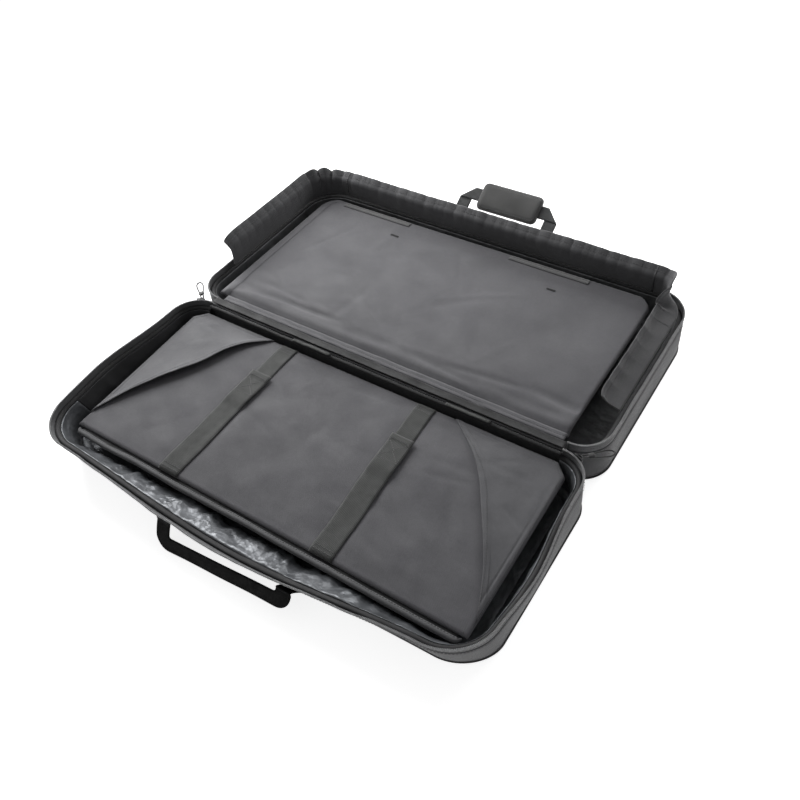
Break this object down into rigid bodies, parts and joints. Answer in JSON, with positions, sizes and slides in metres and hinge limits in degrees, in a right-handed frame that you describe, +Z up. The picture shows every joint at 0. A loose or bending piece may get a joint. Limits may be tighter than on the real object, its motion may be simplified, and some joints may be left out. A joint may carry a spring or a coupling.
{
  "type": "soft carry case",
  "caption": "Soft zipped clamshell carry case for tabletop miniatures, with padded dividers, straps, pockets and webbing handles",
  "frame": {"origin": "on the floor, at the middle of the open case with its handles", "axes": "+X along the hinge, -Y towards the base half, +Y towards the lid half, +Z up"},
  "size_m": [0.7914, 0.8748, 0.132],
  "materials": {
    "shell_fabric": "woven, matte",
    "divider_fabric": "woven, slight sheen",
    "silver_lining": "thin coated, shiny, crinkled",
    "binding": "bound edge, matte",
    "webbing": "ribbed webbing",
    "handle_webbing": "tight black webbing",
    "grip": "padded, stitched border",
    "hook_and_loop": "napped",
    "zipper_tape": "woven tape",
    "zipper_coil": "fine coil",
    "slider_metal": "black lacquer",
    "pull_cord": "matte",
    "stiffener": "sheet",
    "foam": "closed-cell foam"
  },
  "bodies": {
    "base": {"base_outer_panel": "shell_fabric", "base_stiffener_board": "stiffener", "base_floor_lining": "silver_lining", "base_side_wall": "shell_fabric", "base_wall_lining": "silver_lining", "base_zipper_tape": "zipper_tape", "base_zipper_coil": "zipper_coil", "base_spine_wall": "shell_fabric", "base_left_foam": "foam", "base_right_foam": "foam", "hinge_web": "binding", "hinge_binding": "binding", "left_spine_tab": "webbing", "right_spine_tab": "webbing", "front_handle_left_patch": "handle_webbing", "front_handle_right_patch": "handle_webbing"},
    "base_divider": {"base_divider_pad": "divider_fabric", "base_divider_lip": "binding", "left_corner_pocket": "divider_fabric", "right_corner_pocket": "divider_fabric", "left_strap_short_webbing": "webbing", "right_strap_short_webbing": "webbing"},
    "left_strap": {"left_strap_long_webbing": "webbing", "left_strap_hook_patch": "hook_and_loop"},
    "right_strap": {"right_strap_long_webbing": "webbing", "right_strap_hook_patch": "hook_and_loop"},
    "lid": {"lid_outer_panel": "shell_fabric", "lid_stiffener_board": "stiffener", "lid_floor_lining": "silver_lining", "lid_side_wall": "shell_fabric", "lid_wall_lining": "silver_lining", "lid_zipper_tape": "zipper_tape", "lid_zipper_coil": "zipper_coil", "lid_spine_wall": "shell_fabric", "lid_left_foam": "foam", "lid_right_foam": "foam", "lid_back_foam": "foam", "back_handle_left_patch": "handle_webbing", "back_handle_right_patch": "handle_webbing", "lid_divider_flange": "divider_fabric"},
    "lid_divider": {"lid_divider_pad": "divider_fabric", "lid_left_loop_strip": "hook_and_loop", "lid_right_loop_strip": "hook_and_loop"},
    "left_flap": {"lid_left_flap": "shell_fabric"},
    "right_flap": {"lid_right_flap": "shell_fabric"},
    "back_flap": {"lid_back_flap": "shell_fabric"},
    "front_handle": {"front_handle_webbing": "handle_webbing"},
    "back_handle": {"back_handle_webbing": "handle_webbing", "back_handle_grip": "grip"},
    "left_slider": {"left_slider": "slider_metal"},
    "right_slider": {"right_slider": "slider_metal"},
    "left_pull": {"left_pull_loop": "pull_cord"},
    "right_pull": {"right_pull_loop": "pull_cord"}
  },
  "joints": [
    {"name": "lid_fold", "type": "hinge", "parent": "base", "child": "lid", "pos_m": [0, -0.04407, 0.08], "axis": [1, 0, 0], "range_deg": [0, 172]},
    {"name": "base_divider_lift", "type": "hinge", "parent": "base", "child": "base_divider", "pos_m": [0, -0.06407, 0.064], "axis": [1, 0, 0], "range_deg": [-70, 0]},
    {"name": "left_strap_peel", "type": "hinge", "parent": "base_divider", "child": "left_strap", "pos_m": [-0.152, -0.35207, 0.05555], "axis": [-1, 0, 0], "range_deg": [-125, 0]},
    {"name": "right_strap_peel", "type": "hinge", "parent": "base_divider", "child": "right_strap", "pos_m": [0.121, -0.35207, 0.05555], "axis": [-1, 0, 0], "range_deg": [-125, 0]},
    {"name": "lid_divider_lift", "type": "hinge", "parent": "lid", "child": "lid_divider", "pos_m": [0, -0.01807, 0.073], "axis": [-1, 0, 0], "range_deg": [-70, 0]},
    {"name": "left_flap_fold", "type": "hinge", "parent": "lid", "child": "left_flap", "pos_m": [-0.3686, 0.15093, 0.074], "axis": [0, 1, 0], "range_deg": [-40, 75]},
    {"name": "right_flap_fold", "type": "hinge", "parent": "lid", "child": "right_flap", "pos_m": [0.3686, 0.15093, 0.074], "axis": [0, -1, 0], "range_deg": [-75, 15]},
    {"name": "back_flap_fold", "type": "hinge", "parent": "lid", "child": "back_flap", "pos_m": [0, 0.32853, 0.074], "axis": [1, 0, 0], "range_deg": [-10, 70]},
    {"name": "front_handle_swing", "type": "hinge", "parent": "base", "child": "front_handle", "pos_m": [0, -0.41779, 0.05145], "axis": [1, 0, 0], "range_deg": [-85, 0]},
    {"name": "back_handle_swing", "type": "hinge", "parent": "lid", "child": "back_handle", "pos_m": [0, 0.34393, 0.052], "axis": [-1, 0, 0], "range_deg": [-30, 55]},
    {"name": "left_slider_run", "type": "hinge", "parent": "base", "child": "left_slider", "pos_m": [-0.33, -0.10007, 0.0742], "axis": [0, 0, 1], "range_deg": [0, 60]},
    {"name": "right_slider_run", "type": "hinge", "parent": "base", "child": "right_slider", "pos_m": [0.33, -0.10007, 0.0742], "axis": [0, 0, -1], "range_deg": [0, 60]},
    {"name": "left_pull_swing", "type": "hinge", "parent": "left_slider", "child": "left_pull", "pos_m": [-0.35793, -0.04753, 0.0742], "axis": [-0.6428, -0.766, 0], "range_deg": [-60, 60]},
    {"name": "right_pull_swing", "type": "hinge", "parent": "right_slider", "child": "right_pull", "pos_m": [0.35793, -0.04753, 0.0742], "axis": [-0.6428, 0.766, 0], "range_deg": [-60, 60]}
  ]
}
